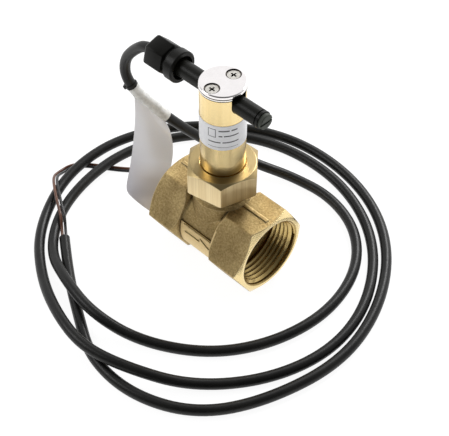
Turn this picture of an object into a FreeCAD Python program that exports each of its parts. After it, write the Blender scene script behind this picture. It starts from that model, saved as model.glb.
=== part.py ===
"""Paddle flow switch: a brass pipe tee, a sensor tube held by a union nut, a paddle on a pivot
in the flow, and a reed contact in a rod that slides across the top of the tube.

Frame: millimetres, +Z up. The pipe runs along X, with the inlet at -X and the outlet at +X.
The origin is on the tee's lower flats, straight below the axis of the sensor tube.
"""
import FreeCAD
import Part
import math
import os

V = FreeCAD.Vector
X_DIR = V(1, 0, 0)
Y_DIR = V(0, 1, 0)
Z_DIR = V(0, 0, 1)
ORIGIN = V(0, 0, 0)

# ---------------------------------------------------------------- driving dimensions
clearance = 0.05                # general slip clearance on a radius

# pipe tee, inside thread G 1
tee_length = 58.0
branch_offset = 0.75            # centre of the run, ahead of the branch axis
thread_radius = 16.62           # plain wall at the major diameter of the G 1 thread
thread_length = 13.0
mouth_chamfer = 0.5
passage_radius = 13.5
barrel_wall = 4.0
barrel_half_length = 10.3       # from the branch axis to the collars' inner ends
collar_wall = 2.38              # beside the thread, at the middle of a flat
collar_edge_radius = 1.2        # cast rounding between two flats
face_land = 1.98                # end face, beside the thread, inside the turned corner chamfer
corner_chamfer_angle = 30.0
shoulder_step = 2.1             # inner shoulder over the barrel
shoulder_rounding = 2.2
shoulder_run = 0.7              # length of the slope from the shoulder down to the barrel
branch_bore_radius = 10.0
neck_wall = 2.0
flare_top_step = 1.2            # narrow shoulder at the top of the cast flare
flare_middle_step = 2.5
flare_foot_inset = 0.3          # foot of the flare, inside the barrel's surface
flare_drop = 6.1                # top of the flare, below the nut
spigot_radius = 13.22           # plain wall at the major diameter of the G 3/4 thread
ridge_width = 1.7               # parting ridge along the top of each collar
ridge_height = 0.45
pad_height = 0.6                # raised pad along the barrel's near side
pad_low_angle = 205.0
pad_high_angle = 172.0

# union nut
nut_wall = 1.78                 # beside the thread, at the middle of a flat
nut_turn = 11.6                 # turn of a corner away from +X
nut_standoff = 6.4              # above the collars' upper flats
nut_height = 12.1
nut_web = 2.0
nut_bore_gap = 0.4
nut_chamfer_angle = 30.0
nut_foot_land = 2.2             # lower chamfer starts this far outside the upper one

# sensor housing: closed tube with a slotted head
tube_reach = 43.1               # head above the union nut
tube_radius = 10.0
tube_wall = 1.4
rim_overhang = 0.2
rim_height = 0.75
groove_height = 0.5
groove_depth = 0.35
foot_inset = 0.32               # foot inside the spigot's thread
foot_height = 2.2
cavity_roof = 1.85              # between the cavity and the rod's slot

# reed carrier rod and its U-shaped slot
rod_axis_drop = 5.2             # below the head
rod_radius = 4.0
rod_bore = 2.6
rod_outlet_end = 22.8
rod_gland_end = -36.0
slot_clearance = 0.15
rod_groove_width = 0.6
rod_groove_depth = 0.4

# clamp plate and its two countersunk screws
plate_thickness = 1.5
plate_gap = 0.2
plate_edge_radius = 0.6
saddle_length = 15.0
screw_inset = 3.7               # screw axis from the tube's surface
screw_radius = 1.5
screw_length = 7.0
screw_head_radius = 2.75
screw_head_depth = 0.45
counterbore_radius = 3.35
counterbore_depth = 0.35
screw_hole_radius = 1.7
recess_width = 0.75
recess_span = 3.0
recess_depth = 1.0

# type label round the tube
label_drop = 4.95               # below the rod's slot
label_height = 13.3
label_thickness = 0.12
label_gap_angle = 24.0

# paddle carrier, pivot and lever
seal_thickness = 1.3
seal_width = 1.2
carrier_flange_thickness = 1.2
carrier_depth = 12.5
window_length = 11.0
window_width = 5.2
pivot_drop = 6.0                # below the spigot's end
pin_radius = 1.0
pin_length = 17.0
hub_radius = 3.4
lever_thickness = 3.0
upper_arm_width = 3.6
lower_arm_width = 3.2
swing_gap = 0.52                # from the cup to the tube's wall at either end of the swing
cup_gap = 2.8                   # from the cup to the magnet seat
cup_height = 7.0
cup_wall = 0.45
magnet_radius = 2.95
magnet_length = 6.0
blade_side_gap = 1.5            # beside the blade in the branch bore
blade_thickness = 0.8
blade_rise = 3.5                # blade above the passage
blade_floor_gap = 1.1
rivet_radius = 0.8
rivet_head_radius = 1.35
rivet_head_height = 0.45
rivet_spacing = 3.4
rivet_drop = 2.0                # upper rivet, below the blade's top edge

# fixed return magnet in a seat at the closed end of the cavity
seat_thickness = 2.6
return_magnet_radius = 2.0
return_magnet_length = 2.0
return_magnet_inset = 2.2       # from the cavity wall

# reed contact inside the rod
capsule_radius = 1.15
capsule_length = 14.0
sleeve_length = 19.0
lead_radius = 0.3
lead_length = 3.5
core_radius = 0.45
core_offset = 1.9

# end plug of the rod
plug_inset = 0.55               # plug head inside the rod's surface
plug_length = 2.0
plug_spigot = 4.0
plug_slot_width = 1.0
plug_slot_depth = 0.6

# cable gland at the rod's other end
gland_overlap = 12.3            # rod inside the gland
gland_collar_wall = 3.4         # outside the rod
gland_collar_length = 5.0
gland_recess_gap = 1.6          # round the rod
gland_recess_depth = 3.4
neck_gland_wall = 1.8           # outside the rod
neck_overrun = 2.5              # neck past the rod's end
cap_wall_outside = 0.95         # outside the neck, at the middle of a flat
cap_grip = 7.9                  # cap nut over the neck
cap_overhang = 2.8
cap_wall = 1.7
seal_bore_depth = 2.4

# cable, its two wires and the flag label
cable_radius = 2.5
wire_radius = 0.7
wire_pitch = 1.7
wrap_gap = 0.05
wrap_thickness = 0.35
flag_thickness = 0.4

# ---------------------------------------------------------------- derived places
hex_flats = 2 * (thread_radius + collar_wall)
pipe_axis = hex_flats / 2
corner_radius = hex_flats / math.sqrt(3)
barrel_radius = passage_radius + barrel_wall
collar_face_radius = thread_radius + face_land
collar_shoulder_radius = barrel_radius + shoulder_step
outlet_face = branch_offset + tee_length / 2
inlet_face = branch_offset - tee_length / 2
neck_radius = branch_bore_radius + neck_wall
nut_flats = 2 * (spigot_radius + nut_wall)
nut_bottom = hex_flats + nut_standoff
nut_top = nut_bottom + nut_height
flare_top = nut_bottom - flare_drop
foot_radius = spigot_radius - foot_inset
foot_top = nut_top - nut_web
foot_bottom = foot_top - foot_height
spigot_top = foot_bottom - seal_thickness
nut_thread_radius = spigot_radius + 2 * clearance
head_top = nut_top + tube_reach
rim_radius = tube_radius + rim_overhang
rod_axis_height = head_top - rod_axis_drop
slot_radius = rod_radius + slot_clearance
cavity_radius = tube_radius - tube_wall
cavity_top = rod_axis_height - slot_radius - cavity_roof
label_bottom = rod_axis_height - slot_radius - label_drop - label_height
plate_radius = rim_radius
plate_bottom = head_top + plate_gap
plate_top = plate_bottom + plate_thickness
screw_reach = tube_radius - screw_inset
screw_places = [V(0, side * screw_reach, 0) for side in (-1, 1)]
pivot_height = spigot_top - pivot_drop
pivot = V(0, 0, pivot_height)
cup_radius = magnet_radius + cup_wall + clearance
cup_top = cavity_top - seat_thickness - cup_gap
cup_bottom = cup_top - cup_height
swing_reach = cavity_radius - cup_radius - swing_gap
return_magnet_reach = cavity_radius - return_magnet_inset - return_magnet_radius
rest_tilt = math.degrees(math.asin(swing_reach / (cup_top - pivot_height)))
blade_width = 2 * (branch_bore_radius - blade_side_gap)
blade_top = pipe_axis + passage_radius + blade_rise
blade_bottom = pipe_axis - passage_radius + blade_floor_gap
plug_radius = rod_radius - plug_inset
collar_outlet_face = rod_gland_end + gland_overlap
gland_collar_radius = rod_radius + gland_collar_wall
gland_recess_radius = rod_radius + gland_recess_gap
neck_outer_radius = rod_radius + neck_gland_wall
neck_end = rod_gland_end - neck_overrun
cap_flats = 2 * (neck_outer_radius + cap_wall_outside)
cap_inner_end = neck_end + cap_grip
cap_outer_end = neck_end - cap_overhang


# ---------------------------------------------------------------- small tools
def cylinder_x(radius, start, end, height=pipe_axis, y=0.0):
    """Cylinder along X from start to end."""
    return Part.makeCylinder(radius, end - start, V(start, y, height), X_DIR)


def cylinder_z(radius, bottom, top, x=0.0, y=0.0):
    """Cylinder along Z from bottom to top."""
    return Part.makeCylinder(radius, top - bottom, V(x, y, bottom), Z_DIR)


def box(x_span, y_span, z_span):
    """Box from three (low, high) pairs."""
    size = [span[1] - span[0] for span in (x_span, y_span, z_span)]
    return Part.makeBox(size[0], size[1], size[2], V(x_span[0], y_span[0], z_span[0]))


def turned_z(profile):
    """Solid of revolution about Z from (radius, height) pairs."""
    points = [V(radius, 0, height) for radius, height in profile]
    face = Part.Face(Part.makePolygon(points + [points[0]]))
    return face.revolve(ORIGIN, Z_DIR, 360)


def turned_x(profile, height):
    """Solid of revolution about the X line at this height from (x, radius) pairs."""
    points = [V(x, 0, height + radius) for x, radius in profile]
    face = Part.Face(Part.makePolygon(points + [points[0]]))
    return face.revolve(V(0, 0, height), X_DIR, 360)


def hexagon(flats, centre, normal, first_corner, turn=0.0):
    """Hexagonal face; first_corner is the direction of one corner."""
    radius = flats / math.sqrt(3)
    side_way = normal.cross(first_corner)
    corners = []
    for index in range(6):
        angle = math.radians(turn + 60 * index)
        reach = first_corner * math.cos(angle) + side_way * math.sin(angle)
        corners.append(centre + reach * radius)
    return Part.Face(Part.makePolygon(corners + [corners[0]]))


# ---------------------------------------------------------------- pipe tee
def tee_collar(way):
    """Hexagonal end of the tee on the outlet (+1) or inlet (-1) side."""
    face_x = outlet_face if way > 0 else inlet_face
    shoulder_x = way * barrel_half_length
    slope_x = shoulder_x - way * shoulder_run
    start = V(slope_x, 0, pipe_axis)
    prism = hexagon(hex_flats, start, X_DIR, Y_DIR).extrude(X_DIR * (face_x - slope_x))
    long_edges = [edge for edge in prism.Edges if edge.BoundBox.XLength > collar_edge_radius]
    prism = prism.makeFillet(collar_edge_radius, long_edges)
    slope = math.tan(math.radians(corner_chamfer_angle))
    reach = corner_radius + 1
    chamfer_x = face_x - way * slope * (reach - collar_face_radius)
    round_x = shoulder_x + way * shoulder_rounding
    turned = turned_x([(face_x, 0), (face_x, collar_face_radius), (chamfer_x, reach), (round_x, reach),
                       (round_x, corner_radius), (shoulder_x, collar_shoulder_radius),
                       (slope_x, barrel_radius - clearance), (slope_x, 0)], pipe_axis)
    ridge_end = chamfer_x - way * clearance
    ends = sorted((shoulder_x, ridge_end))
    ridge = box(ends, (-ridge_width / 2, ridge_width / 2), (hex_flats - 1, hex_flats + ridge_height))
    return prism.common(turned).fuse(ridge)


def barrel_pad():
    """Raised pad along the near side of the barrel, from collar to collar."""
    radius = barrel_radius + pad_height
    span = pad_low_angle - pad_high_angle
    start = V(-barrel_half_length, 0, pipe_axis)
    pad = Part.makeCylinder(radius, 2 * barrel_half_length, start, X_DIR, span)
    pad.rotate(V(0, 0, pipe_axis), X_DIR, pad_high_angle)
    return pad


def branch_neck():
    """Cast flare from the barrel up to a narrow shoulder, with the plain neck above it."""
    foot = V(barrel_radius - flare_foot_inset, 0, pipe_axis)
    middle = V(neck_radius + flare_middle_step, 0, (pipe_axis + flare_top) / 2)
    shoulder = V(neck_radius + flare_top_step, 0, flare_top)
    corners = [shoulder, V(neck_radius, 0, flare_top + flare_top_step), V(neck_radius, 0, nut_bottom),
               V(0, 0, nut_bottom), V(0, 0, pipe_axis), foot]
    edges = [Part.Arc(foot, middle, shoulder).toShape()]
    edges += [Part.LineSegment(start, end).toShape() for start, end in zip(corners, corners[1:])]
    return Part.Face(Part.Wire(edges)).revolve(ORIGIN, Z_DIR, 360)


def pipe_tee():
    """Cast tee: two hexagonal collars, a round barrel, and a neck with a threaded spigot."""
    body = cylinder_x(barrel_radius, inlet_face + 1, outlet_face - 1)
    body = body.fuse([tee_collar(1), tee_collar(-1), barrel_pad(), branch_neck()])
    body = body.fuse(cylinder_z(spigot_radius, nut_bottom, spigot_top))
    body = body.cut(cylinder_x(passage_radius, inlet_face - 1, outlet_face + 1))
    for face_x, way in ((outlet_face, 1), (inlet_face, -1)):
        inner = face_x - way * thread_length
        relief = inner - way * (thread_radius - passage_radius) / 2
        mouth = thread_radius + mouth_chamfer
        body = body.cut(turned_x([(face_x + way, 0), (face_x + way, mouth), (face_x, mouth),
                                  (face_x - way * mouth_chamfer, thread_radius), (inner, thread_radius),
                                  (relief, passage_radius), (relief, 0)], pipe_axis))
    body = body.cut(cylinder_z(branch_bore_radius, pipe_axis, spigot_top + 1))
    return body.removeSplitter()


# ---------------------------------------------------------------- union nut and seal
def union_nut():
    """Hexagonal union nut with a turned chamfer above and a smaller one below."""
    start = V(0, 0, nut_bottom)
    prism = hexagon(nut_flats, start, Z_DIR, X_DIR, nut_turn).extrude(V(0, 0, nut_height))
    slope = math.tan(math.radians(nut_chamfer_angle))
    face_radius = nut_flats / 2 - 0.4
    reach = nut_flats / math.sqrt(3) + 1
    drop = slope * (reach - face_radius)
    foot = face_radius + nut_foot_land
    turned = turned_z([(0, nut_bottom), (foot, nut_bottom), (reach, nut_bottom + slope * (reach - foot)),
                       (reach, nut_top - drop), (face_radius, nut_top), (0, nut_top)])
    nut = prism.common(turned)
    nut = nut.cut(cylinder_z(nut_thread_radius, nut_bottom - 1, foot_top))
    nut = nut.cut(cylinder_z(tube_radius + nut_bore_gap, nut_bottom, nut_top + 1))
    mouth = turned_z([(0, nut_bottom - 1), (nut_thread_radius + 1.6, nut_bottom - 1),
                      (nut_thread_radius, nut_bottom + 0.6), (0, nut_bottom + 0.6)])
    return nut.cut(mouth)


def union_seal():
    """Flat sealing ring between the spigot and the foot of the housing."""
    ring = cylinder_z(foot_radius, spigot_top, foot_bottom)
    return ring.cut(cylinder_z(foot_radius - seal_width, spigot_top - 1, foot_bottom + 1))


# ---------------------------------------------------------------- sensor housing
def u_slot(radius, half_length):
    """U-shaped cutter along X, round below the rod axis and open above it."""
    slot = cylinder_x(radius, -half_length, half_length, rod_axis_height)
    return slot.fuse(box((-half_length, half_length), (-radius, radius), (rod_axis_height, head_top + 1)))


def sensor_housing():
    """Closed brass tube: foot, wall, head with a rim, U-slot and two tapped holes."""
    rim_bottom = head_top - rim_height
    groove_bottom = rim_bottom - groove_height
    groove_radius = tube_radius - groove_depth
    body = turned_z([(0, foot_bottom), (foot_radius, foot_bottom), (foot_radius, foot_top),
                     (tube_radius, foot_top), (tube_radius, groove_bottom), (groove_radius, groove_bottom),
                     (groove_radius, rim_bottom), (rim_radius, rim_bottom), (rim_radius, head_top),
                     (0, head_top)])
    body = body.cut(cylinder_z(cavity_radius, foot_bottom - 1, cavity_top))
    body = body.cut(u_slot(slot_radius, 2 * tube_radius))
    for place in screw_places:
        hole_bottom = plate_top - screw_head_depth - screw_length - 1
        body = body.cut(cylinder_z(screw_radius + clearance, hole_bottom, head_top + 1, place.x, place.y))
    return body.removeSplitter()


# ---------------------------------------------------------------- clamp plate and screws
def clamp_plate():
    """Round cover plate with a saddle below that presses on the rod."""
    plate = cylinder_z(plate_radius, plate_bottom, plate_top)
    top_edges = [edge for edge in plate.Edges if edge.BoundBox.ZMin > plate_top - 0.01]
    plate = plate.makeFillet(plate_edge_radius, top_edges)
    half_width = slot_radius - 3 * clearance
    saddle = box((-saddle_length / 2, saddle_length / 2), (-half_width, half_width),
                 (rod_axis_height + rod_radius / 2, plate_bottom))
    saddle = saddle.cut(cylinder_x(rod_radius + clearance, -saddle_length, saddle_length, rod_axis_height))
    plate = plate.fuse(saddle)
    cone_top = plate_top - counterbore_depth
    cone_radius = screw_head_radius + 3 * clearance
    cone_drop = cone_radius - screw_hole_radius
    for place in screw_places:
        cutter = turned_z([(0, plate_top + 1), (counterbore_radius, plate_top + 1),
                           (counterbore_radius, cone_top), (cone_radius, cone_top),
                           (screw_hole_radius, cone_top - cone_drop), (screw_hole_radius, head_top - 1),
                           (0, head_top - 1)])
        cutter.translate(place)
        plate = plate.cut(cutter)
    return plate.removeSplitter()


def clamp_screws():
    """Two countersunk screws with a cross recess, as a group of separate solids."""
    top = plate_top - screw_head_depth
    neck = top - (screw_head_radius - screw_radius)
    screws = []
    bottom = top - recess_depth
    taper = turned_z([(0, top + recess_depth), (recess_span, top + recess_depth),
                      (recess_span / 2, top), (recess_width, bottom), (0, bottom)])
    slots = [box((-across / 2, across / 2), (-along / 2, along / 2), (bottom, top + recess_depth))
             for across, along in ((2 * recess_span, recess_width), (recess_width, 2 * recess_span))]
    recess = slots[0].fuse(slots[1]).common(taper)
    for place in screw_places:
        screw = turned_z([(0, top), (screw_head_radius, top), (screw_radius, neck),
                          (screw_radius, top - screw_length), (0, top - screw_length)])
        screw = screw.cut(recess)
        screw.translate(place)
        screws.append(screw)
    return Part.makeCompound(screws)


def type_label():
    """Thin label wrapped round the tube, with a gap between its ends at the back."""
    inner = tube_radius + 0.02
    label = cylinder_z(inner + label_thickness, label_bottom, label_bottom + label_height)
    label = label.cut(cylinder_z(inner, label_bottom - 1, label_bottom + label_height + 1))
    half_gap = 2 * tube_radius * math.tan(math.radians(label_gap_angle / 2))
    gap = box((-half_gap / 2, half_gap / 2), (0, 2 * tube_radius), (label_bottom - 1, 2 * label_bottom))
    gap.rotate(ORIGIN, Z_DIR, 45)
    return label.cut(gap)


# ---------------------------------------------------------------- paddle carrier and pivot
def paddle_carrier():
    """Flanged bush in the branch bore with a window for the lever and holes for the pin."""
    flange_radius = foot_radius - seal_width - 2 * clearance
    bottom = spigot_top - carrier_depth
    body = cylinder_z(branch_bore_radius - clearance, bottom, spigot_top)
    body = body.fuse(cylinder_z(flange_radius, spigot_top, spigot_top + carrier_flange_thickness))
    top = spigot_top + carrier_flange_thickness + 1
    body = body.cut(box((-window_length / 2, window_length / 2), (-window_width / 2, window_width / 2),
                        (bottom - 1, top)))
    relief_reach = window_length / 2 + 1.6
    relief_bottom = pivot_height + hub_radius + 0.6
    relief = box((-relief_reach, relief_reach), (-window_width / 2, window_width / 2), (relief_bottom, top))
    pin_hole = Part.makeCylinder(pin_radius, pin_length, pivot - Y_DIR * (pin_length / 2), Y_DIR)
    return body.cut(relief).cut(pin_hole).removeSplitter()


def pivot_pin():
    """Steel pin across the carrier."""
    return Part.makeCylinder(pin_radius, pin_length, pivot - Y_DIR * (pin_length / 2), Y_DIR)


def leaned(shape):
    """Lean a piece of the lever assembly about the pivot to its no-flow position."""
    shape.rotate(pivot, Y_DIR, rest_tilt)
    return shape


def lever_slab(profile, thickness):
    """Slab in the XZ plane, centred on Y, from (x, z) pairs."""
    points = [V(x, -thickness / 2, z) for x, z in profile]
    return Part.Face(Part.makePolygon(points + [points[0]])).extrude(V(0, thickness, 0))


def rivet_heights():
    """Heights of the two rivets that hold the blade."""
    upper = blade_top - rivet_drop
    return (upper, upper - rivet_spacing)


def paddle_lever():
    """Lever with a hub on the pin, a tapered upper arm with a magnet cup, and a lower arm."""
    hub_width = window_width - 8 * clearance
    hub = Part.makeCylinder(hub_radius, hub_width, pivot - Y_DIR * (hub_width / 2), Y_DIR)
    upper = lever_slab([(-hub_radius * 0.8, pivot_height + 1), (hub_radius * 0.8, pivot_height + 1),
                        (upper_arm_width / 2, cup_bottom + 1), (-upper_arm_width / 2, cup_bottom + 1)],
                       lever_thickness)
    half = lower_arm_width / 2
    foot = rivet_heights()[1] - rivet_drop
    lower = lever_slab([(-half, foot), (half, foot), (half, pivot_height), (-half, pivot_height)],
                       lever_thickness)
    cup = cylinder_z(cup_radius, cup_bottom, cup_top)
    pocket = cylinder_z(magnet_radius + clearance, cup_top - magnet_length, cup_top + 1)
    lever = hub.fuse([upper, lower, cup]).cut(pocket)
    bore = Part.makeCylinder(pin_radius + clearance, pin_length, pivot - Y_DIR * (pin_length / 2), Y_DIR)
    lever = lever.cut(bore)
    for height in rivet_heights():
        lever = lever.cut(cylinder_x(rivet_radius, -hub_radius, hub_radius, height))
    return leaned(lever)


def paddle_blade():
    """Thin blade across the flow, with a round lower end, on the lever's inlet side."""
    back = -lower_arm_width / 2
    half = blade_width / 2
    round_centre = blade_bottom + half
    straight = box((back - blade_thickness, back), (-half, half), (round_centre, blade_top))
    blade = straight.fuse(cylinder_x(half, back - blade_thickness, back, round_centre))
    for height in rivet_heights():
        blade = blade.cut(cylinder_x(rivet_radius, -hub_radius, hub_radius, height))
    return leaned(blade.removeSplitter())


def blade_rivets():
    """Two rivets through the blade and the lower arm, as separate solids."""
    front = -lower_arm_width / 2 - blade_thickness
    back = lower_arm_width / 2
    rivets = []
    for height in rivet_heights():
        profile = [(front - rivet_head_height, 0), (front - rivet_head_height, rivet_head_radius * 0.7),
                   (front, rivet_head_radius), (front, rivet_radius), (back, rivet_radius),
                   (back, rivet_head_radius), (back + rivet_head_height, rivet_head_radius * 0.7),
                   (back + rivet_head_height, 0)]
        rivets.append(turned_x(profile, height))
    return leaned(Part.makeCompound(rivets))


def paddle_magnet():
    """Round magnet in the cup at the lever's upper end."""
    return leaned(cylinder_z(magnet_radius, cup_top - magnet_length, cup_top))


def magnet_seat():
    """Disc at the closed end of the cavity with a pocket for the return magnet."""
    bottom = cavity_top - seat_thickness
    disc = cylinder_z(cavity_radius - clearance, bottom, cavity_top)
    pocket = cylinder_z(return_magnet_radius, bottom - 1, bottom + return_magnet_length, return_magnet_reach)
    return disc.cut(pocket)


def return_magnet():
    """Fixed magnet that draws the lever back to its no-flow position."""
    bottom = cavity_top - seat_thickness
    return cylinder_z(return_magnet_radius, bottom, bottom + return_magnet_length, return_magnet_reach)


# ---------------------------------------------------------------- reed carrier rod
def reed_carrier():
    """Sliding rod, bored through, with a groove near its outlet end."""
    rod = cylinder_x(rod_radius, rod_gland_end, rod_outlet_end, rod_axis_height)
    groove_start = rod_outlet_end - 3 * rod_groove_width
    groove = cylinder_x(rod_radius + 1, groove_start, groove_start + rod_groove_width, rod_axis_height)
    groove = groove.cut(cylinder_x(rod_radius - rod_groove_depth, groove_start - 1, rod_outlet_end,
                                   rod_axis_height))
    bore = cylinder_x(rod_bore, rod_gland_end - 1, rod_outlet_end + 1, rod_axis_height)
    return rod.cut(groove).cut(bore)


def end_plug():
    """Plug with a slotted head that closes the rod."""
    head_end = rod_outlet_end + plug_length
    plug = turned_x([(rod_outlet_end - plug_spigot, 0), (rod_outlet_end - plug_spigot, rod_bore - clearance),
                     (rod_outlet_end, rod_bore - clearance), (rod_outlet_end, plug_radius),
                     (head_end - 0.35, plug_radius), (head_end, plug_radius - 0.35), (head_end, 0)],
                    rod_axis_height)
    slot = box((head_end - plug_slot_depth, head_end + 1), (-plug_radius - 1, plug_radius + 1),
               (rod_axis_height - plug_slot_width / 2, rod_axis_height + plug_slot_width / 2))
    return plug.cut(slot)


def reed_sleeve():
    """Bush that centres the reed capsule in the rod, with a channel for one cable core."""
    half = sleeve_length / 2
    sleeve = cylinder_x(rod_bore - clearance, -half, half, rod_axis_height)
    sleeve = sleeve.cut(cylinder_x(capsule_radius + 0.02, -half - 1, half + 1, rod_axis_height))
    channel = box((-half - 1, half + 1), (-core_radius - clearance, core_radius + clearance),
                  (rod_axis_height - rod_radius, rod_axis_height - core_offset + core_radius + clearance))
    return sleeve.cut(channel)


def reed_capsule():
    """Glass capsule of the reed contact with round ends."""
    half = capsule_length / 2
    straight = half - capsule_radius
    body = cylinder_x(capsule_radius, -straight, straight, rod_axis_height)
    ends = [Part.makeSphere(capsule_radius, V(way * straight, 0, rod_axis_height)) for way in (-1, 1)]
    return body.fuse(ends).removeSplitter()


def reed_leads():
    """Two leads of the reed contact; the outlet one is bent down to its core."""
    half = capsule_length / 2
    end = half + lead_length
    inlet_lead = cylinder_x(lead_radius, -end, -half, rod_axis_height)
    corner = V(end - lead_radius, 0, rod_axis_height)
    bend = [V(half, 0, rod_axis_height), corner, corner - Z_DIR * core_offset]
    outlet_lead = tube_along(rounded_route(bend, "reed lead")[0], lead_radius)
    return Part.makeCompound([inlet_lead, outlet_lead])


def cable_cores():
    """Two insulated cores from the cable's inner end to the leads."""
    end = capsule_length / 2 + lead_length
    straight = cylinder_x(core_radius, rod_gland_end, -end, rod_axis_height)
    low = cylinder_x(core_radius, rod_gland_end, end - 2 * lead_radius, rod_axis_height - core_offset)
    return Part.makeCompound([straight, low])


# ---------------------------------------------------------------- cable gland
def gland_body():
    """Round collar with a recess round the rod, and a neck that takes the cap nut."""
    collar_inner = collar_outlet_face - gland_collar_length
    recess_end = collar_outlet_face - gland_recess_depth
    edge = 0.5
    body = turned_x([(neck_end, 0), (neck_end, neck_outer_radius), (collar_inner, neck_outer_radius),
                     (collar_inner, gland_collar_radius - edge), (collar_inner + edge, gland_collar_radius),
                     (collar_outlet_face - edge, gland_collar_radius),
                     (collar_outlet_face, gland_collar_radius - edge), (collar_outlet_face, 0)],
                    rod_axis_height)
    body = body.cut(cylinder_x(gland_recess_radius, recess_end, collar_outlet_face + 1, rod_axis_height))
    body = body.cut(cylinder_x(rod_radius + clearance / 2, rod_gland_end, collar_outlet_face, rod_axis_height))
    seal_end = neck_end + seal_bore_depth
    seal_radius = neck_outer_radius - 1
    body = body.cut(cylinder_x(seal_radius, neck_end - 1, seal_end, rod_axis_height))
    return body.cut(cylinder_x(cable_radius + clearance, seal_end - 1, rod_gland_end + 1, rod_axis_height))


def gland_seal():
    """Rubber ring that the cap nut presses round the cable."""
    start = cap_outer_end + cap_wall
    end = neck_end + seal_bore_depth
    outer = neck_outer_radius - 1 - clearance
    ring = cylinder_x(outer, start, end, rod_axis_height)
    return ring.cut(cylinder_x(cable_radius + clearance, start - 1, end + 1, rod_axis_height))


def gland_nut():
    """Hexagonal cap nut with chamfered corners at both ends and a hole for the cable."""
    centre = V(cap_outer_end, 0, rod_axis_height)
    length = cap_inner_end - cap_outer_end
    prism = hexagon(cap_flats, centre, X_DIR, Y_DIR, 15).extrude(V(length, 0, 0))
    face_radius = cap_flats / 2 - 0.5
    reach = cap_flats / math.sqrt(3) + 1
    drop = (reach - face_radius) * math.tan(math.radians(30))
    turned = turned_x([(cap_outer_end, 0), (cap_outer_end, face_radius), (cap_outer_end + drop, reach),
                       (cap_inner_end - drop / 2, reach), (cap_inner_end, reach - drop / 2),
                       (cap_inner_end, 0)], rod_axis_height)
    nut = prism.common(turned)
    nut = nut.cut(cylinder_x(neck_outer_radius + clearance, cap_outer_end + cap_wall, cap_inner_end + 1,
                             rod_axis_height))
    return nut.cut(cylinder_x(cable_radius + clearance, cap_outer_end - 1, cap_inner_end, rod_axis_height))


# ---------------------------------------------------------------- cable, wires and flag
floor_line = cable_radius           # centre height of a cable on the floor
over_cable = 7.9                    # centre height where it passes over another turn
over_wires = 4.1                    # centre height where it passes over the two wires

cable_route = [
    # from inside the gland, round and down through the flag label to the floor
    V(rod_gland_end, 0, rod_axis_height), V(rod_gland_end - 9.8, 0, rod_axis_height),
    V(rod_gland_end - 18, 0, rod_axis_height - 6.8), V(rod_gland_end - 24.8, -0.3, rod_axis_height - 15.4),
    V(-62, -0.5, 69), V(-57.8, 1.5, 60.5), V(-53.4, 8, 50), V(-49, 15, 39.5),
    V(-43, 26.5, 25), V(-33.5, 38.5, 12.5), V(-21.5, 48.5, 5),
    # first turn, over the last turn's end and over the wires
    V(-7, 55.5, floor_line), V(16, 58.5, floor_line), V(39.5, 50, floor_line), V(56, 30.5, floor_line),
    V(62.3, 3, floor_line), V(56.5, -25.5, floor_line), V(41, -49.5, floor_line), V(15, -66, floor_line),
    V(-9, -73, over_cable), V(-33, -68.5, over_cable), V(-54, -60, floor_line),
    V(-69.8, -41.3, floor_line), V(-76.8, -18.5, over_wires), V(-78, 7.5, over_wires),
    V(-70, 34, floor_line), V(-52, 55, floor_line),
    # second turn, again over the last turn's end and over the wires
    V(-26, 68.5, floor_line), V(6, 70.5, floor_line), V(34.5, 61, floor_line), V(57, 43, floor_line),
    V(73, 16, floor_line), V(77, -13, floor_line), V(67.5, -42.5, floor_line), V(47, -67.5, 3),
    V(22, -82.2, 7.3), V(1, -87.7, over_cable), V(-21, -83.5, over_cable), V(-44.5, -73, 3.2),
    V(-66, -57.5, floor_line), V(-82.3, -33.5, floor_line), V(-87.8, -11.5, over_wires),
    V(-86.5, 13.5, over_wires), V(-75, 40.5, floor_line), V(-53, 62.5, floor_line),
    # last turn, which ends inside the others where the jacket is stripped
    V(-25.5, 76, floor_line), V(6, 77.5, floor_line), V(36, 68.3, floor_line),
    V(60.5, 48.7, floor_line), V(77.8, 19, floor_line), V(84, -14, floor_line),
    V(74.5, -50.3, floor_line), V(58.5, -75, floor_line), V(32.7, -87.5, floor_line),
    V(5.5, -87, floor_line), V(-16.5, -75, floor_line), V(-37, -63.3, floor_line),
    V(-55.6, -50, floor_line)]

wire_lead = 5.0                     # straight length of the wires where they leave the jacket
wire_route = [
    # up over the two turns of the cable, round a bend on the floor, and back under both turns
    V(-63.2, -44, 6.9), V(-70.5, -40, 7.9), V(-80, -34.2, 7.9), V(-88.6, -28.2, 4.8),
    V(-92.3, -22, wire_radius), V(-92, -15, wire_radius), V(-87, -9.5, wire_radius),
    V(-78, -3.5, wire_radius), V(-69, 3, wire_radius), V(-62, 10, wire_radius)]


def rounded_route(points, name):
    """Edges of straight runs joined by tangent arcs, and the length of the whole path."""
    edges = []
    arcs = []
    radii = []
    last = points[0]
    for before, corner, after in zip(points, points[1:], points[2:]):
        to_corner = corner - before
        from_corner = after - corner
        turn = to_corner.getAngle(from_corner)
        tangent = 0.45 * min(to_corner.Length, from_corner.Length)
        radii.append(tangent / math.tan(turn / 2))
        start = corner - to_corner.normalize() * tangent
        end = corner + from_corner.normalize() * tangent
        inward = (end + start) * 0.5 - corner
        apex_gap = radii[-1] * (1 / math.cos(turn / 2) - 1)
        middle = corner + inward.normalize() * apex_gap
        edges.append(Part.LineSegment(last, start).toShape())
        edges.append(Part.Arc(start, middle, end).toShape())
        arcs.append((start, middle, end))
        last = end
    edges.append(Part.LineSegment(last, points[-1]).toShape())
    length = sum(edge.Length for edge in edges)
    print(name, "length", round(length, 1), "radii", [round(radius, 1) for radius in radii])
    return edges, arcs, length


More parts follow.
